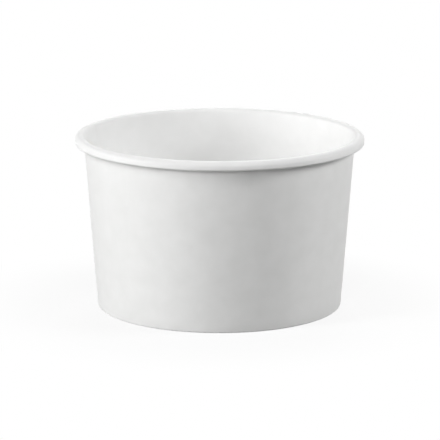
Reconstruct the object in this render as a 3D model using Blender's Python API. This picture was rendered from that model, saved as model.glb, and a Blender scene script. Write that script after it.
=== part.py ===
"""A paper sundae cup, in metres with +Z up, standing on z = 0 with its axis on the Z axis.

Two pieces of coated board make the cup. The sidewall is one blank, wrapped into a cone and lapped
along its side seam. Its top edge is rolled outward into the rim, and its bottom edge is folded
inward and up into a hem. The base is a disc with its edge turned down into a skirt, and that skirt
stands in the fold, between the wall and the hem.
"""

import math

import bmesh
import bpy
import numpy as np

# Overall sizes
HEIGHT = 0.0573  # from the table to the top of the rim
BASE_DIAMETER = 0.0809  # outside of the wall at the table
NECK_DIAMETER = 0.0893  # outside of the wall, level with the middle of the rim
BOARD = 0.0004  # thickness of the sidewall's board
BASE_BOARD = 0.0004  # thickness of the base's board

# Rolled rim
RIM_WIDTH = 0.0035  # from the inside of the wall to the outermost point of the roll
RIM_HEIGHT = 0.003
RIM_LEAN_SHARE = 0.21  # how far the roll leans outward towards its foot, as a share of its height
RIM_FULL_SHARE = 0.11  # how much fuller than an ellipse the roll is at its lower outer corner
TUCK_GAP = 0.0003  # between the wall and the roll's tucked edge
TUCK_ANGLE = math.radians(205)  # where the tucked edge ends, clockwise past the roll's outermost point

# Side seam
SEAM_ANGLE = math.radians(160)  # where the lap starts, counter-clockwise from +X
SEAM_LAP = 0.007  # width of the lap, level with the middle of the rim
SEAM_CLIMB = 0.0015  # run over which the upper layer climbs onto the lower one
SEAM_RISE = 0.00022  # how much thicker the pressed lap is than one layer of board
SEAM_CUT = 0.0001  # run of a cut edge's face

# Base and hem
RECESS_DEPTH = 0.0072  # from the table to the underside of the base
HEM_DROP = 0.001  # from the underside of the base down to the hem's free edge
FOLD_RADIUS = 0.0002  # inside the two creases at the foot of the wall
SKIRT_RADIUS = 0.0005  # inside the crease between the base and its skirt
FIT_GAP = 0.0003  # between the skirt and the board around it
AXIS_MERGE = 0.00001  # points this near the axis become one

# Number of flat facets
TURN_STEPS = 72
RIM_STEPS = 18
CREASE_STEPS = 3
NEAREST_SHARE = 0.1  # a regular station this near a seam station, in steps, is left out

SHARP_ANGLE = math.radians(40)

# Sizes that follow from those above
RIM_MIDDLE = HEIGHT - RIM_HEIGHT / 2
WALL_SLOPE = (NECK_DIAMETER - BASE_DIAMETER) / 2 / RIM_MIDDLE
WALL_TILT = math.atan(WALL_SLOPE)
CHANNEL = FIT_GAP + BASE_BOARD + FIT_GAP  # clear width between the wall and the hem
HEM_TOP = RECESS_DEPTH - HEM_DROP
SKIRT_FOOT = BOARD + FIT_GAP


def clear_scene():
    for obj in list(bpy.data.objects):
        bpy.data.objects.remove(obj, do_unlink=True)


def board_material(name, colour, roughness):
    material = bpy.data.materials.new(name)
    material.use_nodes = True
    shader = material.node_tree.nodes["Principled BSDF"]
    shader.inputs["Base Color"].default_value = (*colour, 1)
    shader.inputs["Roughness"].default_value = roughness
    shader.inputs["Metallic"].default_value = 0
    return material


def finish_mesh(name, bm, material):
    """Makes an object of a bmesh, with its faces pointing out and its round surfaces smooth."""
    bmesh.ops.recalc_face_normals(bm, faces=bm.faces)
    mesh = bpy.data.meshes.new(name)
    bm.to_mesh(mesh)
    bm.free()
    mesh.shade_smooth()
    mesh.set_sharp_from_angle(angle=SHARP_ANGLE)
    mesh.materials.append(material)
    obj = bpy.data.objects.new(name, mesh)
    bpy.context.scene.collection.objects.link(obj)
    return obj


def beside_wall(depth, height):
    """Radius of the line that runs parallel to the wall, this deep inside its inner face, at a height."""
    outer_face = BASE_DIAMETER / 2 + WALL_SLOPE * height
    return outer_face - (BOARD + depth) / math.cos(WALL_TILT)


def crease(centre_radius, centre_height, start, end):
    """Steps through a crease's arc, seen in the half plane of radius and height.

    Each step gives the arc's centre and the direction from it.
    """
    for angle in np.linspace(start, end, CREASE_STEPS + 1):
        yield centre_radius, centre_height, math.cos(angle), math.sin(angle)


def fold_points():
    """The hem and the two creases at the foot: the board's inner face, as [radius, height, normal, share].

    The normal points from the board into the channel. The share says how much of the seam's double
    thickness shows there. It is pressed flat at the very bottom, so that the cup stands level.
    """
    inward = (-math.cos(WALL_TILT), math.sin(WALL_TILT))
    centre_height = BOARD + FOLD_RADIUS
    hem_centre = beside_wall(CHANNEL - FOLD_RADIUS, centre_height)
    wall_centre = beside_wall(FOLD_RADIUS, centre_height)
    points = [(beside_wall(CHANNEL, HEM_TOP), HEM_TOP, -inward[0], -inward[1], 1)]
    corners = [
        crease(hem_centre, centre_height, math.pi - WALL_TILT, 3 * math.pi / 2),
        crease(wall_centre, centre_height, 3 * math.pi / 2, 2 * math.pi - WALL_TILT),
    ]
    for corner in corners:
        for radius, height, along, up in corner:
            point = (radius + FOLD_RADIUS * along, height + FOLD_RADIUS * up)
            points.append((*point, -along, -up, 1 - abs(up)))
    return points


def rim_points(lift):
    """The rolled rim's outer side, in the same form, from the wall over the top to the tucked edge.

    The roll is an ellipse that leans outward towards its foot and is fuller at its lower outer corner.
    The wall's inner face runs into it as a tangent. Past the foot the roll shrinks, so that its edge
    passes outside the wall, whose face stands further out by the lift at the seam.
    """
    half_height = RIM_HEIGHT / 2
    lean = RIM_LEAN_SHARE * half_height
    wall_lean = lean + WALL_SLOPE * half_height
    # The two supports of the ellipse, on its outer side and along the wall, add up to the rim's width.
    outer_support = (RIM_WIDTH - (wall_lean**2 - lean**2) / RIM_WIDTH) / 2
    half_width = math.sqrt(outer_support**2 - lean**2)
    centre = beside_wall(0, RIM_MIDDLE) + RIM_WIDTH - outer_support
    start = math.pi - math.atan(wall_lean / half_width)
    tucked_face = beside_wall(-BOARD - lift - TUCK_GAP, RIM_MIDDLE)
    tucked_share = (centre - tucked_face) / outer_support

    def at(angle):
        past_foot = np.clip((-math.pi / 2 - angle) / (math.pi / 2), 0, 1)
        eased = past_foot**2 * (3 - 2 * past_foot)
        corner = math.sin(-2 * np.clip(angle, -math.pi / 2, 0))
        share = 1 - (1 - tucked_share) * eased + RIM_FULL_SHARE * corner**4
        across = half_width * math.cos(angle) - lean * math.sin(angle)
        up = half_height * math.sin(angle)
        return np.array([centre + share * across, RIM_MIDDLE + share * up])

    points = []
    turn = (start + TUCK_ANGLE) / RIM_STEPS
    for step in range(RIM_STEPS + 1):
        angle = start - step * turn
        # The two neighbours halfway to the next steps give the direction of travel.
        along = at(angle - turn / 2) - at(angle + turn / 2)
        along /= np.linalg.norm(along)
        points.append((*at(angle), -along[1], along[0], 1))
    return points


def sidewall_section(outer_lift, inner_lift):
    """The closed outline of the board, cut through the axis, as a list of (radius, height).

    A lift moves the outer or the inner face of the board outward, as at the seam.
    """
    inner_face = []
    outer_face = []
    for radius, height, along, up, share in fold_points() + rim_points(outer_lift):
        inner_depth = inner_lift * share
        outer_depth = BOARD + outer_lift * share
        inner_face.append((radius - along * inner_depth, height - up * inner_depth))
        outer_face.append((radius - along * outer_depth, height - up * outer_depth))
    return inner_face + outer_face[::-1]


def stations():
    """Where the sidewall is cut through, all the way round, as (angle, outer lift, inner lift).

    Before the lap the board climbs onto its own first edge. The climb and the two cut edges have
    stations of their own between the regular ones.
    """
    arc = 2 / NECK_DIAMETER
    lap_end = SEAM_ANGLE + SEAM_LAP * arc
    seam = [
        (SEAM_ANGLE - SEAM_CLIMB * arc, 0, 0),
        (SEAM_ANGLE, SEAM_RISE, SEAM_RISE),
        (SEAM_ANGLE + SEAM_CUT * arc, SEAM_RISE, 0),
        (lap_end, SEAM_RISE, 0),
        (lap_end + SEAM_CUT * arc, 0, 0),
    ]
    seam_angles, outer_lifts, inner_lifts = zip(*seam)
    step = 2 * math.pi / TURN_STEPS
    cuts = list(seam)
    for count in range(TURN_STEPS):
        angle = count * step
        if min(abs(angle - other) for other in seam_angles) < NEAREST_SHARE * step:
            continue
        outer_lift = np.interp(angle, seam_angles, outer_lifts)
        inner_lift = np.interp(angle, seam_angles, inner_lifts)
        cuts.append((angle, outer_lift, inner_lift))
    return sorted(cuts)


def loft_round(bm, rings):
    """Skins closed rings of points, the last one joined to the first."""
    loops = [[bm.verts.new(point) for point in ring] for ring in rings]
    for near, far in zip(loops, loops[1:] + loops[:1]):
        for i in range(len(near)):
            bm.faces.new((near[i - 1], near[i], far[i], far[i - 1]))


def make_sidewall(material):
    rings = []
    for angle, outer_lift, inner_lift in stations():
        section = sidewall_section(outer_lift, inner_lift)
        across, along = math.cos(angle), math.sin(angle)
        rings.append([(radius * across, radius * along, height) for radius, height in section])
    bm = bmesh.new()
    loft_round(bm, rings)
    return finish_mesh("sidewall", bm, material)


def base_section():
    """Half of the base's outline, from its middle over the skirt and back, with its underside at zero."""

    def skirt_side(depth, height):
        return beside_wall(FIT_GAP + depth, RECESS_DEPTH + height)

    foot = SKIRT_FOOT - RECESS_DEPTH
    crease_centre = skirt_side(BASE_BOARD + SKIRT_RADIUS, -SKIRT_RADIUS)
    bend = list(crease(crease_centre, -SKIRT_RADIUS, math.pi / 2, -WALL_TILT))
    outer_bend = SKIRT_RADIUS + BASE_BOARD
    points = [(0, BASE_BOARD)]
    points += [(radius + outer_bend * along, height + outer_bend * up) for radius, height, along, up in bend]
    points += [(skirt_side(0, foot), foot), (skirt_side(BASE_BOARD, foot), foot)]
    points += [
        (radius + SKIRT_RADIUS * along, height + SKIRT_RADIUS * up)
        for radius, height, along, up in reversed(bend)
    ]
    return points + [(0, 0)]


def make_base_disc(material):
    bm = bmesh.new()
    verts = [bm.verts.new((radius, 0, height)) for radius, height in base_section()]
    edges = [bm.edges.new(pair) for pair in zip(verts, verts[1:])]
    bmesh.ops.spin(
        bm,
        geom=verts + edges,
        cent=(0, 0, 0),
        axis=(0, 0, 1),
        angle=2 * math.pi,
        steps=TURN_STEPS,
        use_merge=True,
    )
    bmesh.ops.remove_doubles(bm, verts=bm.verts, dist=AXIS_MERGE)
    base = finish_mesh("base_disc", bm, material)
    base.location.z = RECESS_DEPTH
    return base


def build():
    clear_scene()
    wall_board = board_material("coated_wall_board", (0.86, 0.86, 0.855), 0.42)
    base_board = board_material("coated_base_board", (0.84, 0.84, 0.83), 0.46)
    stand = bpy.data.objects.new("sundae_cup", None)
    stand.empty_display_size = HEIGHT
    bpy.context.scene.collection.objects.link(stand)
    for piece in (make_sidewall(wall_board), make_base_disc(base_board)):
        piece.parent = stand


build()
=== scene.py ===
"""The looks of the paper sundae cup: coated board with its folds, lap and cut edges, in a studio.

Lengths are in metres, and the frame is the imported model's: +Z up, the cup standing on z = 0.
The sidewall's board is drawn by one line, along the face that is on the inside of the cup. It runs
from the hem's free edge round the creases at the foot, up the wall and over the roll to its tucked edge.
"""

import functools
import math

import bmesh
import bpy
import numpy as np
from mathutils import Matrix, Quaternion, Vector


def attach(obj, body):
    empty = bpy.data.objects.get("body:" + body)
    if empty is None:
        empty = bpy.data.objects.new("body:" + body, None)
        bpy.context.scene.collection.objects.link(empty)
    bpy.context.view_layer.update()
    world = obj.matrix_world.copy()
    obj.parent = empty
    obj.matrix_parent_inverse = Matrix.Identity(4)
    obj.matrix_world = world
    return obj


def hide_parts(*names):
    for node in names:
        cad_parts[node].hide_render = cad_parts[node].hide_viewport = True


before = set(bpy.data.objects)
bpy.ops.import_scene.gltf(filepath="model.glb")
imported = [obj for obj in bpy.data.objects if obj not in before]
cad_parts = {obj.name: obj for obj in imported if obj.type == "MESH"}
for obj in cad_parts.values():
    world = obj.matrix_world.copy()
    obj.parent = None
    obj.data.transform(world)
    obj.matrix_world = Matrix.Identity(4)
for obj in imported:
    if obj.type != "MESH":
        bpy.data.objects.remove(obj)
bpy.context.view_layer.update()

# The cup's sizes, as in the solids
HEIGHT = 0.0573  # from the table to the top of the rim
BASE_DIAMETER = 0.0809  # outside of the wall at the table
NECK_DIAMETER = 0.0893  # outside of the wall, level with the middle of the rim
BOARD = 0.0004  # thickness of the sidewall's board
BASE_BOARD = 0.0004  # thickness of the base's board
RIM_WIDTH = 0.0035  # from the inside of the wall to the outermost point of the roll
RIM_HEIGHT = 0.003
TUCK_ANGLE = math.radians(205)  # where the tucked edge ends, clockwise past the roll's outermost point
SEAM_ANGLE = math.radians(160)  # where the lap starts, counter-clockwise from +X
SEAM_LAP = 0.007  # width of the lap, level with the middle of the rim
SEAM_CLIMB = 0.0015  # run over which the upper layer climbs onto the lower one
SEAM_RISE = 0.00022  # how much thicker the pressed lap is than one layer of board
RECESS_DEPTH = 0.0072  # from the table to the underside of the base
HEM_DROP = 0.001  # from the underside of the base down to the hem's free edge
FOLD_RADIUS = 0.0002  # inside the two creases at the foot of the wall
SKIRT_RADIUS = 0.0005  # inside the crease between the base and its skirt

# The roll's section, a touch fuller and more upright than the solid's, in the same width and height
RIM_LEAN_SHARE = 0.15  # how far the roll leans outward towards its foot, as a share of its height
RIM_FULL_SHARE = 0.17  # how much fuller than an ellipse the roll is at its lower outer corner
RIM_UNEVEN_SHARE = 0.08  # how much narrower the roll is on the left than on the right

# Faces that the solids keep further apart
TUCK_GAP = 0.00004  # between the wall and the roll's tucked edge, which touch on the real cup
FIT_GAP = 0.00004  # on either side of the base's skirt, which is sealed in on the real cup
SEAM_CUT = 0.00004  # run of a cut edge's face

RIM_MIDDLE = HEIGHT - RIM_HEIGHT / 2
WALL_SLOPE = (NECK_DIAMETER - BASE_DIAMETER) / 2 / RIM_MIDDLE
WALL_TILT = math.atan(WALL_SLOPE)
CHANNEL = FIT_GAP + BASE_BOARD + FIT_GAP  # clear width between the wall and the hem
HEM_TOP = RECESS_DEPTH - HEM_DROP
AROUND = 2 / NECK_DIAMETER  # angle of one unit of length round the seam
LAP_END = SEAM_ANGLE + SEAM_LAP * AROUND

# Fine relief of the board
CRIMPS = 96  # pressed marks round the hem
CRIMP_DEPTH = 0.00013
CRIMP_MARGIN = 0.0012  # plain board below the crimps, and the run over which they fade out
LEDGE_RELIEF = 0.00002  # the wall stands out this far over the edge of the base
LEDGE_REACH = 0.0009
SWAY = 0.00006  # how far the wall departs from a true cone
SWAY_WAVES = ((2, 0.6, 1.2), (3, 0.35, 2.1), (5, 0.2, 4.4))  # waves round the cup, share and phase
COCKLE = 0.00006  # waves of the base
COCKLE_WAVE = 0.031
COCKLE_RATIO = 0.8  # waves along Y for each one along X
COCKLE_PHASES = (1, -0.5)

# Steps of the fine meshes
TURN_STEPS = 576
RIM_STEPS = 40
CREASE_STEPS = 5
WALL_STEPS = 16
HEM_STEPS = 6
DISC_STEPS = 24
NEAREST_SHARE = 0.2  # a regular station this near a seam station, in steps, is left out
AXIS_MERGE = 0.00001  # points this near each other become one, as they do on the axis
SHARP_ANGLE = math.radians(38)
INNER_FACE, OUTER_FACE, CUT_FACE = 0, 1, 2  # which of a piece's materials a face has

# Coated faces: lightest and darkest colour, roughness, gloss, relief of the fibres
INNER_COAT = ((0.92, 0.92, 0.915), (0.895, 0.896, 0.89), 0.42, 0.1, 0.000003)
OUTER_COAT = ((0.894, 0.895, 0.887), (0.861, 0.863, 0.853), 0.5, 0.06, 0.000004)
UNEVENNESS = 0.04  # of the roughness
CLOUD_WAVE = 0.0055  # length of the board's cloudy patches
FIBRE_WAVE = 0.00042
SWELL_WAVE = 0.0036
SWELL_RELIEF = 0.00003

# Cut edges
CUT_COLOURS = ((0.86, 0.84, 0.79), (0.77, 0.74, 0.68))
CUT_ROUGHNESS = (0.8, 0.95)
CUT_WAVE = 0.0003
CUT_RELIEF = 0.00003

NOISE_RANGE = (0.3, 0.7)  # holds nearly all of a noise's values

# Sockets of a colour's mix node
MIX_SHARE, MIX_FIRST, MIX_SECOND, MIX_RESULT = 0, 6, 7, 2

# Camera, for a square picture
PICTURE_SIDE = 440
PIXELS_PER_METRE = 3013  # at the middle of the cup
CAMERA_DISTANCE = 0.912
CAMERA_PITCH = math.radians(12.86)
CAMERA_ROLL = math.radians(0.06)
AIM = Vector((0.0002, 0, HEIGHT / 2 - 0.00065))  # what is in the middle of the picture
SENSOR = 36  # millimetres
CLIP_START = 0.01
CLIP_END = 20

# Floor
FLOOR_RADIUS = 3
FLOOR_HOLE = 0.0402  # under the cup, so that its underside can be seen and lit from beneath
FLOOR_SIDES = 96
FLOOR_SHADE = 0.34  # of the light that falls on it, what the floor gives back to the cup
FLOOR_PALE = 0.9  # the floor's colour where its shadow is seen
SHADOW_SHARE = 0.16  # how much of its shadow is seen at the cup's foot
SHADOW_START = 0.04  # from the cup's axis, where the shadow begins to fade
SHADOW_REACH = 0.09  # and where it has gone

# Soft lights: name, azimuth and elevation in degrees, width, height, watts
LIGHTS = (
    ("key_softbox", -60, 32, 0.21, 0.62, 6.4),
    ("low_left_softbox", -70, 10, 0.21, 0.32, 5),
    ("front_softbox", -10, 25, 0.21, 0.32, 3),
    ("right_softbox", 85, 28, 0.4, 0.4, 8.4),
    ("back_softbox", 175, 35, 0.5, 0.4, 4.2),
)
LIGHT_DISTANCE = 1.2
AMBIENT = 0.02
AMBIENT_BELOW = 0.8


def beside_wall(depth, height):
    """Radius of the line parallel to the wall, this deep inside its inner face, at a height."""
    outer_face = BASE_DIAMETER / 2 + WALL_SLOPE * height
    return outer_face - (BOARD + depth) / math.cos(WALL_TILT)


def arc(centre, radius, start, end):
    """Points along a crease's arc and the directions from its centre, as two arrays."""
    angles = np.linspace(start, end, CREASE_STEPS + 1)
    away = np.stack([np.cos(angles), np.sin(angles)], axis=1)
    return np.array(centre) + radius * away, away


def fold_line():
    """The board's line along the hem and the creases: its points, their normals and the seam's shares.

    A share says how much of the seam's lift the board takes at that point.
    """
    hem_normal = np.array([math.cos(WALL_TILT), -math.sin(WALL_TILT)])
    centre_height = BOARD + FOLD_RADIUS
    hem_heights = np.linspace(HEM_TOP, centre_height, HEM_STEPS + 1)[:-1]
    points = [np.array([beside_wall(CHANNEL, height), height]) for height in hem_heights]
    normals = [hem_normal] * HEM_STEPS
    shares = [1] * HEM_STEPS
    corners = (
        (CHANNEL - FOLD_RADIUS, math.pi - WALL_TILT, 3 * math.pi / 2),
        (FOLD_RADIUS, 3 * math.pi / 2, 2 * math.pi - WALL_TILT),
    )
    for depth, start, end in corners:
        centre = (beside_wall(depth, centre_height), centre_height)
        bend, away = arc(centre, FOLD_RADIUS, start, end)
        points += list(bend)
        normals += list(-away)
        shares += list(1 - np.abs(away[:, 1]))
    return points, normals, shares


def smooth(share):
    """Eases a share from 0 to 1."""
    return share**2 * (3 - 2 * share)


def rim_line(lift):
    """The board's line over the roll, from the wall to the tucked edge: its points and normals."""
    half_height = RIM_HEIGHT / 2
    lean = RIM_LEAN_SHARE * half_height
    wall_lean = lean + WALL_SLOPE * half_height
    outer_support = (RIM_WIDTH - (wall_lean**2 - lean**2) / RIM_WIDTH) / 2
    half_width = math.sqrt(outer_support**2 - lean**2)
    centre = beside_wall(0, RIM_MIDDLE) + RIM_WIDTH - outer_support
    start = math.pi - math.atan(wall_lean / half_width)
    tucked_face = beside_wall(-BOARD - lift - TUCK_GAP, RIM_MIDDLE)
    tucked_share = (centre - tucked_face) / outer_support

    def at(angle):
        """Points of the leaning ellipse, with its corner filled out and its end drawn in to the wall."""
        past_foot = np.clip((-math.pi / 2 - angle) / (math.pi / 2), 0, 1)
        corner = np.sin(-2 * np.clip(angle, -math.pi / 2, 0))
        share = 1 - (1 - tucked_share) * smooth(past_foot) + RIM_FULL_SHARE * corner**4
        across = half_width * np.cos(angle) - lean * np.sin(angle)
        up = half_height * np.sin(angle)
        return np.stack([centre + share * across, RIM_MIDDLE + share * up], axis=1)

    angles = np.linspace(start, -TUCK_ANGLE, RIM_STEPS + 1)
    small = (start + TUCK_ANGLE) / RIM_STEPS / 2
    along = at(angles - small) - at(angles + small)
    along /= np.linalg.norm(along, axis=1, keepdims=True)
    normals = np.stack([-along[:, 1], along[:, 0]], axis=1)
    return at(angles), normals


@functools.cache
def board_line(lift):
    """The whole of the board's line, from edge to edge: its points, normals and shares."""
    points, normals, shares = fold_line()
    rim, rim_normals = rim_line(lift)
    foot = points[-1]
    for step in range(1, WALL_STEPS):
        points.append(foot + (rim[0] - foot) * step / WALL_STEPS)
        normals.append(rim_normals[0])
        shares.append(1)
    points = np.concatenate([points, rim])
    normals = np.concatenate([normals, rim_normals])
    shares = np.concatenate([shares, np.ones(len(rim))])
    return points, normals, shares


def stations():
    """Where the sidewall is cut through, all the way round, as (angle, outer lift, inner lift)."""
    seam = [
        (SEAM_ANGLE - SEAM_CLIMB * AROUND, 0, 0),
        (SEAM_ANGLE, SEAM_RISE, SEAM_RISE),
        (SEAM_ANGLE + SEAM_CUT * AROUND, SEAM_RISE, 0),
        (LAP_END, SEAM_RISE, 0),
        (LAP_END + SEAM_CUT * AROUND, 0, 0),
    ]
    seam_angles, outer_lifts, inner_lifts = zip(*seam)
    step = 2 * math.pi / TURN_STEPS
    cuts = list(seam)
    for angle in np.arange(TURN_STEPS) * step:
        if min(abs(angle - other) for other in seam_angles) < NEAREST_SHARE * step:
            continue
        outer_lift = np.interp(angle, seam_angles, outer_lifts)
        inner_lift = np.interp(angle, seam_angles, inner_lifts)
        cuts.append((angle, outer_lift, inner_lift))
    return sorted(cuts)


def swell(distance, reach):
    """A soft hump, one high at a distance of zero."""
    return np.exp(-((distance / reach) ** 2))


def sway(angle, height):
    """How far the board stands out from a true cone. The foot is held round by the base."""
    wave = sum(share * math.cos(count * angle + phase) for count, share, phase in SWAY_WAVES)
    return SWAY * wave * height / HEIGHT


def crimps(angle, height):
    """Depth of the pressed marks on the hem, at one angle and several heights."""
    groove = 0.5 - 0.5 * math.cos(CRIMPS * angle)
    above_foot = np.clip((height - CRIMP_MARGIN) / CRIMP_MARGIN, 0, 1)
    below_edge = np.clip((HEM_TOP - CRIMP_MARGIN / 2 - height) / CRIMP_MARGIN + 1, 0, 1)
    return CRIMP_DEPTH * groove * above_foot * below_edge


def sidewall_ring(angle, outer_lift, inner_lift):
    """The board's closed section at one station, as points in space: its inner face, then its outer."""
    line, normals, shares = board_line(outer_lift)
    line = line.copy()
    roll = line[-RIM_STEPS - 1 :, 0]  # a view, so the line is narrowed with it
    narrower = RIM_UNEVEN_SHARE * (1 - math.cos(angle)) / 2
    roll -= (roll - roll[0]) * narrower
    hem = np.arange(len(line)) < HEM_STEPS
    thickness = BOARD + outer_lift * shares - np.where(hem, crimps(angle, line[:, 1]), 0)
    inner = line - normals * (inner_lift * shares)[:, None]
    outer = line - normals * thickness[:, None]
    wall = ~hem & (line[:, 1] < RIM_MIDDLE)
    ledge = LEDGE_RELIEF * swell(line[:, 1] - RECESS_DEPTH, LEDGE_REACH)
    outer[:, 0] += np.where(wall, ledge, 0)
    section = np.concatenate([inner, outer[::-1]])
    radius = section[:, 0] + sway(angle, section[:, 1])
    return np.stack([radius * math.cos(angle), radius * math.sin(angle), section[:, 1]], axis=1)


def round_mesh(name, rings, closed):
    """A mesh skinned over rings of equally many points, the last ring joined to the first.

    Each ring is closed, or open from its first point to its last.
    """
    count, length = len(rings), len(rings[0])
    spans = length if closed else length - 1
    station, place = np.meshgrid(np.arange(count), np.arange(spans), indexing="ij")
    after, beyond = (place + 1) % length, (station + 1) % count
    corners = [
        station * length + place,
        beyond * length + place,
        beyond * length + after,
        station * length + after,
    ]
    mesh = bpy.data.meshes.new(name)
    faces = np.stack(corners, axis=-1).reshape(-1, len(corners))
    mesh.from_pydata(np.concatenate(rings).tolist(), [], faces.tolist())
    return mesh


def finish_piece(mesh, materials, node):
    """Makes a piece of a mesh. It replaces a node, rides on the cup and takes the given materials."""
    bm = bmesh.new()
    bm.from_mesh(mesh)
    bmesh.ops.remove_doubles(bm, verts=bm.verts, dist=AXIS_MERGE)
    bmesh.ops.recalc_face_normals(bm, faces=bm.faces)
    bm.to_mesh(mesh)
    bm.free()
    mesh.shade_smooth()
    mesh.set_sharp_from_angle(angle=SHARP_ANGLE)
    for material in materials:
        mesh.materials.append(material)
    piece = bpy.data.objects.new(mesh.name, mesh)
    bpy.context.scene.collection.objects.link(piece)
    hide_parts(node)
    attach(piece, "root")


def make_sidewall(materials):
    """The lapped, rolled and hemmed blank."""
    cuts = stations()
    rings = [sidewall_ring(*cut) for cut in cuts]
    mesh = round_mesh("sidewall_board", rings, closed=True)
    length = len(rings[0])
    half = length // 2
    angles = [cut[0] for cut in cuts]
    kind = np.full((len(cuts), length), INNER_FACE, np.int32)
    kind[:, half:] = OUTER_FACE
    kind[:, [half - 1, length - 1]] = CUT_FACE
    kind[angles.index(SEAM_ANGLE), :half] = CUT_FACE
    kind[angles.index(LAP_END), half:] = CUT_FACE
    mesh.polygons.foreach_set("material_index", kind.reshape(-1))
    finish_piece(mesh, materials, "sidewall")


def base_line():
    """Half of the base's section, from its middle over the skirt and back along the underside."""

    def skirt_side(depth, height):
        """Radius of the skirt's outer face, or of a line this deep inside it."""
        return beside_wall(FIT_GAP + depth, height)

    top = RECESS_DEPTH + BASE_BOARD
    foot = BOARD + FIT_GAP
    centre_height = RECESS_DEPTH - SKIRT_RADIUS
    centre = (skirt_side(BASE_BOARD + SKIRT_RADIUS, centre_height), centre_height)
    outer_bend, _ = arc(centre, SKIRT_RADIUS + BASE_BOARD, math.pi / 2, -WALL_TILT)
    inner_bend, _ = arc(centre, SKIRT_RADIUS, math.pi / 2, -WALL_TILT)
    flat = np.linspace(0, centre[0], DISC_STEPS + 1)[:-1]
    upper = [(radius, top) for radius in flat]
    under = [(radius, RECESS_DEPTH) for radius in flat]
    skirt = [(skirt_side(0, foot), foot), (skirt_side(BASE_BOARD, foot), foot)]
    return np.concatenate([upper, outer_bend, skirt, inner_bend[::-1], under[::-1]])


def make_base(materials):
    """The base with its skirt. The flat of it is cockled a little, and its edge is held level."""
    line = base_line()
    radius, height = line.T
    flat_radius = beside_wall(FIT_GAP + BASE_BOARD + SKIRT_RADIUS, RECESS_DEPTH)
    free = smooth(np.clip(1 - radius / flat_radius, 0, 1))
    turns = 2 * math.pi / COCKLE_WAVE
    rings = []
    for angle in np.arange(TURN_STEPS // 2) * (4 * math.pi / TURN_STEPS):
        x, y = radius * math.cos(angle), radius * math.sin(angle)
        wave_x = np.sin(turns * x + COCKLE_PHASES[0])
        wave_y = np.cos(turns * COCKLE_RATIO * y + COCKLE_PHASES[1])
        rings.append(np.stack([x, y, height + COCKLE * free * wave_x * wave_y], axis=1))
    mesh = round_mesh("base_board", rings, closed=False)
    spans = len(line) - 1
    half = spans // 2
    kind = np.full((len(rings), spans), INNER_FACE, np.int32)
    kind[:, half:] = OUTER_FACE
    kind[:, half] = CUT_FACE
    mesh.polygons.foreach_set("material_index", kind.reshape(-1))
    finish_piece(mesh, materials, "base_disc")


class Nodes:
    """Builds one node tree. Its methods add nodes and return the output that is used."""

    def __init__(self, owner):
        owner.use_nodes = True
        self.tree = owner.node_tree
        self.tree.nodes.clear()

    def add(self, kind, inputs=None, output=0, **settings):
        """One output of a new node, whose inputs are numbers, colours or other nodes' outputs."""
        node = self.tree.nodes.new(kind)
        for name, value in settings.items():
            setattr(node, name, value)
        for name, value in (inputs or {}).items():
            if isinstance(value, bpy.types.NodeSocket):
                self.tree.links.new(value, node.inputs[name])
            else:
                node.inputs[name].default_value = value
        return node.outputs[output]

    def noise(self, place, wave, detail, roughness=0.5):
        """Soft noise from 0 to 1, with waves about this long."""
        scales = {"Vector": place, "Scale": 1 / wave, "Detail": detail, "Roughness": roughness}
        return self.add("ShaderNodeTexNoise", scales)

    def spread(self, noise, low, high):
        """A noise's range, spread from one value to another."""
        noise_low, noise_high = NOISE_RANGE
        limits = {"From Min": noise_low, "From Max": noise_high, "To Min": low, "To Max": high}
        return self.add("ShaderNodeMapRange", {"Value": noise, **limits})

    def mix(self, noise, first, second):
        """A colour between two, which a noise's range chooses."""
        share = self.spread(noise, 0, 1)
        colours = {MIX_SHARE: share, MIX_FIRST: (*first, 1), MIX_SECOND: (*second, 1)}
        return self.add("ShaderNodeMix", colours, MIX_RESULT, data_type="RGBA")

    def bump(self, height, distance, normal=None):
        """The normal of a relief this high, on top of another one's where that is given."""
        inputs = {"Height": height, "Distance": distance, "Strength": 1}
        if normal is not None:
            inputs["Normal"] = normal
        return self.add("ShaderNodeBump", inputs)

    def seen(self):
        """One for the rays of the camera, of reflections and of clear things, and zero for others."""
        rays = ("Is Camera Ray", "Is Glossy Ray", "Is Transmission Ray")
        camera, glossy, clear = (self.add("ShaderNodeLightPath", output=ray) for ray in rays)
        either = self.add("ShaderNodeMath", {0: camera, 1: glossy}, operation="MAXIMUM")
        return self.add("ShaderNodeMath", {0: either, 1: clear}, operation="MAXIMUM")

    def finish(self, shader, kind="ShaderNodeOutputMaterial"):
        """Makes a shader the tree's surface."""
        output = self.tree.nodes.new(kind)
        self.tree.links.new(shader, output.inputs["Surface"])


def board_material(name, light, shade, roughness, gloss, fibre_relief):
    """Coated board: a cloudy sheet under a thin film, with the fibres faintly felt through it."""
    material = bpy.data.materials.new(name)
    nodes = Nodes(material)
    place = nodes.add("ShaderNodeTexCoord", output="Object")
    clouds = nodes.noise(place, CLOUD_WAVE, detail=4)
    fibres = nodes.noise(place, FIBRE_WAVE, detail=4, roughness=0.6)
    swells = nodes.noise(place, SWELL_WAVE, detail=2)
    relief = nodes.bump(fibres, fibre_relief, nodes.bump(swells, SWELL_RELIEF))
    shader = nodes.add(
        "ShaderNodeBsdfPrincipled",
        {
            "Base Color": nodes.mix(clouds, light, shade),
            "Roughness": nodes.spread(fibres, roughness - UNEVENNESS, roughness + UNEVENNESS),
            "Normal": relief,
            "Specular IOR Level": gloss,
        },
    )
    nodes.finish(shader)
    return material


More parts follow.
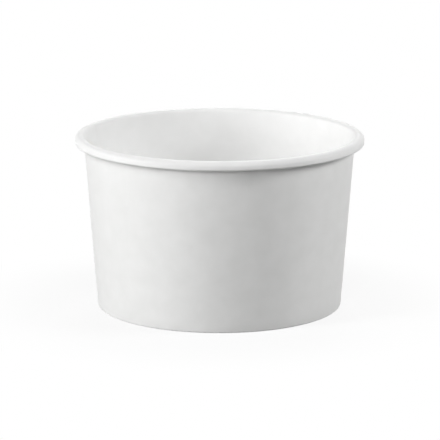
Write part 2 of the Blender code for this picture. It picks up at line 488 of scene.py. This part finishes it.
def cut_material():
    """The raw edge of the board: bare fibre, a little warmer than the coated faces."""
    material = bpy.data.materials.new("raw_board_edge")
    nodes = Nodes(material)
    place = nodes.add("ShaderNodeTexCoord", output="Object")
    fibres = nodes.noise(place, CUT_WAVE, detail=5, roughness=0.7)
    shader = nodes.add(
        "ShaderNodeBsdfPrincipled",
        {
            "Base Color": nodes.mix(fibres, *CUT_COLOURS),
            "Roughness": nodes.spread(fibres, *CUT_ROUGHNESS),
            "Normal": nodes.bump(fibres, CUT_RELIEF),
        },
    )
    nodes.finish(shader)
    return material


def floor_material():
    """A pale floor. The camera and reflections see it as white, with the cup's soft shadow near it.

    Seen from beneath it is clear, so that it never hides the cup's underside.
    """
    material = bpy.data.materials.new("pale_floor")
    nodes = Nodes(material)

    def matte(shade):
        """A plain grey surface."""
        return nodes.add("ShaderNodeBsdfDiffuse", {"Color": (shade, shade, shade, 1)})

    plain = matte(FLOOR_SHADE)
    pale = matte(FLOOR_PALE)
    white = nodes.add("ShaderNodeEmission")
    place = nodes.add("ShaderNodeTexCoord", output="Object")
    away = nodes.add("ShaderNodeVectorMath", {0: place}, output="Value", operation="LENGTH")
    fade = {"From Min": SHADOW_START, "From Max": SHADOW_REACH, "To Min": SHADOW_SHARE, "To Max": 0}
    near = nodes.add("ShaderNodeMapRange", {"Value": away, **fade}, interpolation_type="SMOOTHSTEP")
    shown = nodes.add("ShaderNodeMixShader", {0: near, 1: white, 2: pale})
    beneath = nodes.add("ShaderNodeNewGeometry", output="Backfacing")
    clear = nodes.add("ShaderNodeBsdfTransparent")
    shown = nodes.add("ShaderNodeMixShader", {0: beneath, 1: shown, 2: clear})
    nodes.finish(nodes.add("ShaderNodeMixShader", {0: nodes.seen(), 1: plain, 2: shown}))
    return material


def make_floor():
    """A wide ring round the cup's foot."""
    radii = (FLOOR_RADIUS, FLOOR_HOLE)
    rings = []
    for angle in np.linspace(0, 2 * math.pi, FLOOR_SIDES + 1)[:-1]:
        rings.append([(radius * math.cos(angle), radius * math.sin(angle), 0) for radius in radii])
    mesh = round_mesh("floor", rings, closed=False)
    mesh.materials.append(floor_material())
    floor = bpy.data.objects.new("floor", mesh)
    bpy.context.scene.collection.objects.link(floor)


def make_world():
    """White for the camera and reflections. As a light it is dim, and brighter below the floor."""
    world = bpy.data.worlds.new("studio")
    nodes = Nodes(world)
    direction = nodes.add("ShaderNodeTexCoord", output="Generated")
    height = nodes.add("ShaderNodeSeparateXYZ", {0: direction}, output="Z")
    below = nodes.add("ShaderNodeMath", {0: height, 1: 0}, operation="LESS_THAN")
    ambient = {"Value": below, "To Min": AMBIENT, "To Max": AMBIENT_BELOW}
    dim = nodes.add("ShaderNodeMapRange", ambient)
    strength = nodes.add("ShaderNodeMath", {0: dim, 1: nodes.seen()}, operation="MAXIMUM")
    background = nodes.add("ShaderNodeBackground", {"Color": (1, 1, 1, 1), "Strength": strength})
    nodes.finish(background, "ShaderNodeOutputWorld")
    bpy.context.scene.world = world


def soft_light(name, azimuth, elevation, width, height, watts):
    """A softbox that faces the cup. Azimuth 0 is in front of it, and 90 on its right."""
    turn, rise = math.radians(azimuth), math.radians(elevation)
    level = math.cos(rise)
    away = Vector((math.sin(turn) * level, -math.cos(turn) * level, math.sin(rise)))
    lamp = bpy.data.lights.new(name, "AREA")
    lamp.shape = "RECTANGLE"
    lamp.size = width
    lamp.size_y = height
    lamp.energy = watts
    light = bpy.data.objects.new(name, lamp)
    light.location = Vector((0, 0, HEIGHT / 2)) + away * LIGHT_DISTANCE
    light.rotation_mode = "QUATERNION"
    light.rotation_quaternion = (-away).to_track_quat("-Z", "Y")
    light.visible_camera = False
    bpy.context.scene.collection.objects.link(light)


def make_camera():
    """The camera, level with the photo's: it looks along +Y and down, with a trace of roll."""
    forward = Vector((0, math.cos(CAMERA_PITCH), -math.sin(CAMERA_PITCH)))
    data = bpy.data.cameras.new("camera")
    data.sensor_width = SENSOR
    data.lens = PIXELS_PER_METRE * CAMERA_DISTANCE / PICTURE_SIDE * SENSOR
    data.clip_start = CLIP_START
    data.clip_end = CLIP_END
    camera = bpy.data.objects.new("camera", data)
    camera.location = AIM - forward * CAMERA_DISTANCE
    camera.rotation_mode = "QUATERNION"
    roll = Quaternion((0, 0, 1), CAMERA_ROLL)
    camera.rotation_quaternion = forward.to_track_quat("-Z", "Y") @ roll
    bpy.context.scene.collection.objects.link(camera)
    bpy.context.scene.camera = camera


board_materials = (
    board_material("inner_coated_board", *INNER_COAT),
    board_material("outer_coated_board", *OUTER_COAT),
    cut_material(),
)
make_sidewall(board_materials)
make_base(board_materials)
make_floor()
make_world()
for light in LIGHTS:
    soft_light(*light)
make_camera()
bpy.context.scene.view_settings.view_transform = "Standard"
